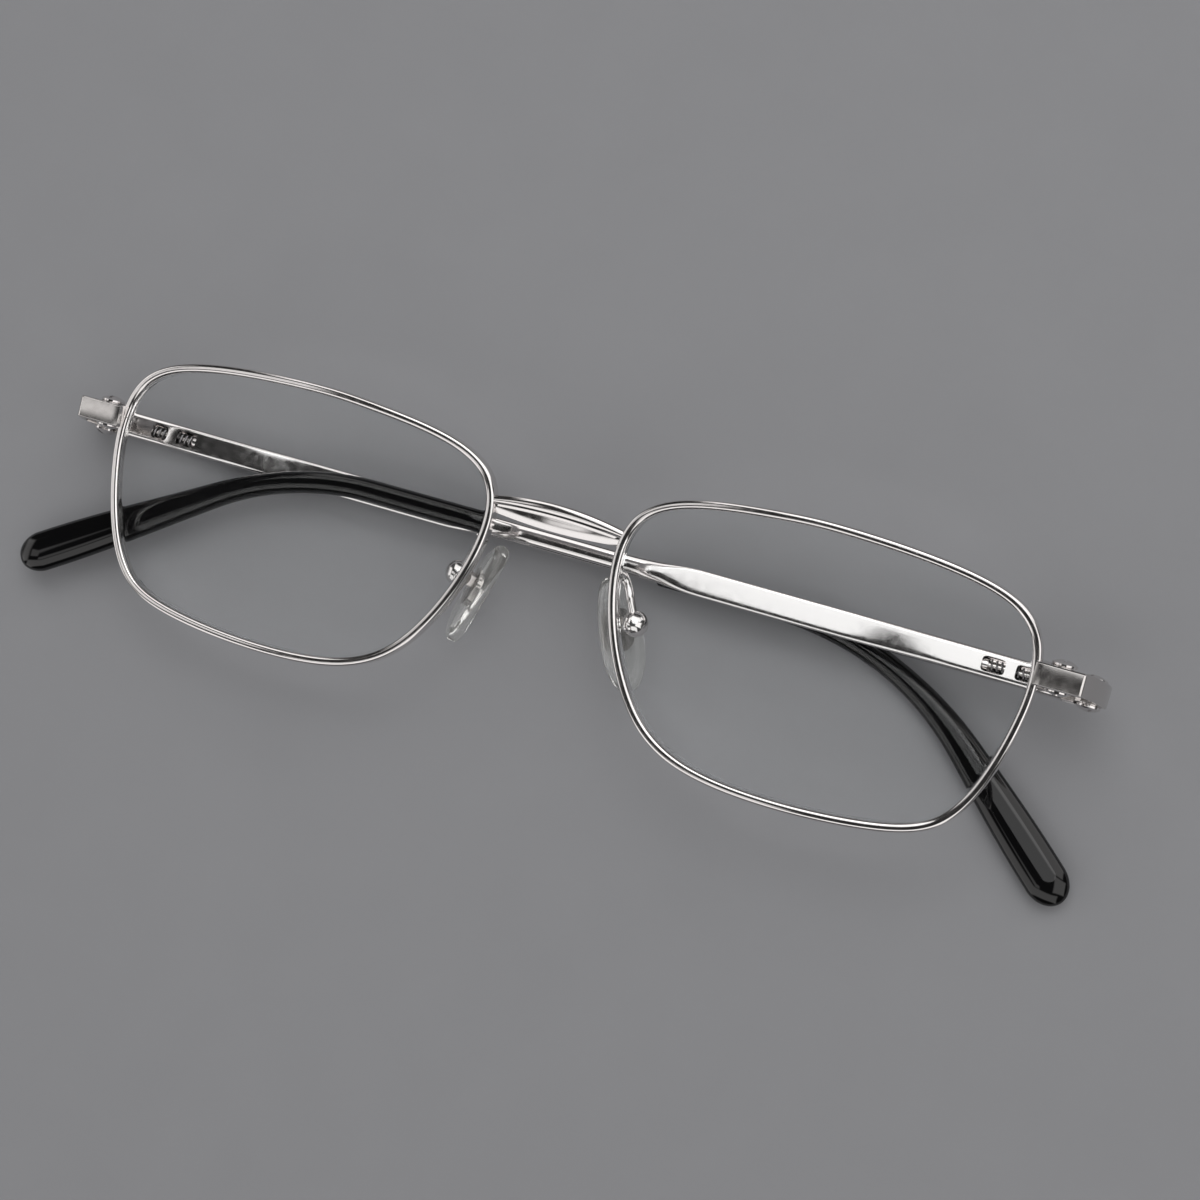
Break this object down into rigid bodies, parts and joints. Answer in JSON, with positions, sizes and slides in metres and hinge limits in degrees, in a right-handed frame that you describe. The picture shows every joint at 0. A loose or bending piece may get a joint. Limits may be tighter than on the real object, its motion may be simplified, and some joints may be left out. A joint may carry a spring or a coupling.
{
  "type": "eyeglasses",
  "caption": "Rectangular full-rim metal eyeglasses with nose pads on wire arms, spring-hinged temples and black ear tips, folded.",
  "frame": {"origin": "middle of the nose gap: halfway between the lenses, at the height of their centre line, at the depth of their front apex", "axes": "+X to the wearer's left, +Y up the folded front towards the brow, +Z out of the lenses' front faces, upwards as the glasses lie on their folded temples"},
  "size_m": [0.1447, 0.0368, 0.017],
  "materials": {
    "polished_steel": "polished",
    "satin_steel": "satin",
    "lens_glass": "clear, polished",
    "clear_silicone": "clear, soft gloss",
    "brass": "turned",
    "spring_steel": "drawn wire",
    "black_acetate": "high gloss"
  },
  "bodies": {
    "front": {"left_rim": "polished_steel", "right_rim": "polished_steel", "bridge": "polished_steel", "left_lens": "lens_glass", "right_lens": "lens_glass", "left_end_piece": "satin_steel", "right_end_piece": "satin_steel", "left_rim_lock_upper": "satin_steel", "right_rim_lock_upper": "satin_steel", "left_rim_lock_lower": "satin_steel", "right_rim_lock_lower": "satin_steel", "left_rim_lock_screw": "polished_steel", "right_rim_lock_screw": "polished_steel", "left_rim_lock_nut": "polished_steel", "right_rim_lock_nut": "polished_steel", "left_hinge_block": "satin_steel", "right_hinge_block": "satin_steel", "left_hinge_screw": "polished_steel", "right_hinge_screw": "polished_steel", "left_hinge_nut": "polished_steel", "right_hinge_nut": "polished_steel", "left_pad_arm": "polished_steel", "right_pad_arm": "polished_steel", "left_pad_box": "polished_steel", "right_pad_box": "polished_steel", "left_pad_screw": "polished_steel", "right_pad_screw": "polished_steel"},
    "left_slider": {"left_hinge_slider": "satin_steel", "left_slider_nut": "brass"},
    "left_temple": {"left_spring_bush": "brass", "left_hinge_spring": "spring_steel", "left_temple_bar": "polished_steel", "left_temple_tip": "black_acetate"},
    "right_slider": {"right_hinge_slider": "satin_steel", "right_slider_nut": "brass"},
    "right_temple": {"right_spring_bush": "brass", "right_hinge_spring": "spring_steel", "right_temple_bar": "polished_steel", "right_temple_tip": "black_acetate"},
    "left_pad": {"left_nose_pad": "clear_silicone", "left_pad_core": "satin_steel"},
    "right_pad": {"right_nose_pad": "clear_silicone", "right_pad_core": "satin_steel"}
  },
  "joints": [
    {"name": "left_temple_fold", "type": "hinge", "parent": "front", "child": "left_slider", "pos_m": [0.06767, 0.00676, -0.00637], "axis": [-0.0006, -0.9998, 0.0174], "range_deg": [0, 90.5]},
    {"name": "left_spring_travel", "type": "slide", "parent": "left_slider", "child": "left_temple", "axis": [-0.9997, 0.0002, -0.0262], "range_m": [0, 0.001], "stiffness_N_per_m": 2000, "springref_m": -0.0005, "deforming": ["left_hinge_spring"]},
    {"name": "right_temple_fold", "type": "hinge", "parent": "front", "child": "right_slider", "pos_m": [-0.06706, 0.00676, -0.01108], "axis": [0.0006, 0.9998, -0.0174], "range_deg": [0, 87.5]},
    {"name": "right_spring_travel", "type": "slide", "parent": "right_slider", "child": "right_temple", "axis": [1, -0.0008, -0.0087], "range_m": [0, 0.001], "stiffness_N_per_m": 2000, "springref_m": -0.0005, "deforming": ["right_hinge_spring"]},
    {"name": "left_pad_rock", "type": "hinge", "parent": "front", "child": "left_pad", "pos_m": [0.01224, -0.00037, -0.00518], "axis": [0.4178, 0.4818, -0.7703], "range_deg": [-6, 6]},
    {"name": "right_pad_rock", "type": "hinge", "parent": "front", "child": "right_pad", "pos_m": [-0.01185, -0.00037, -0.00602], "axis": [-0.363, 0.4818, -0.7976], "range_deg": [-6, 6]}
  ]
}
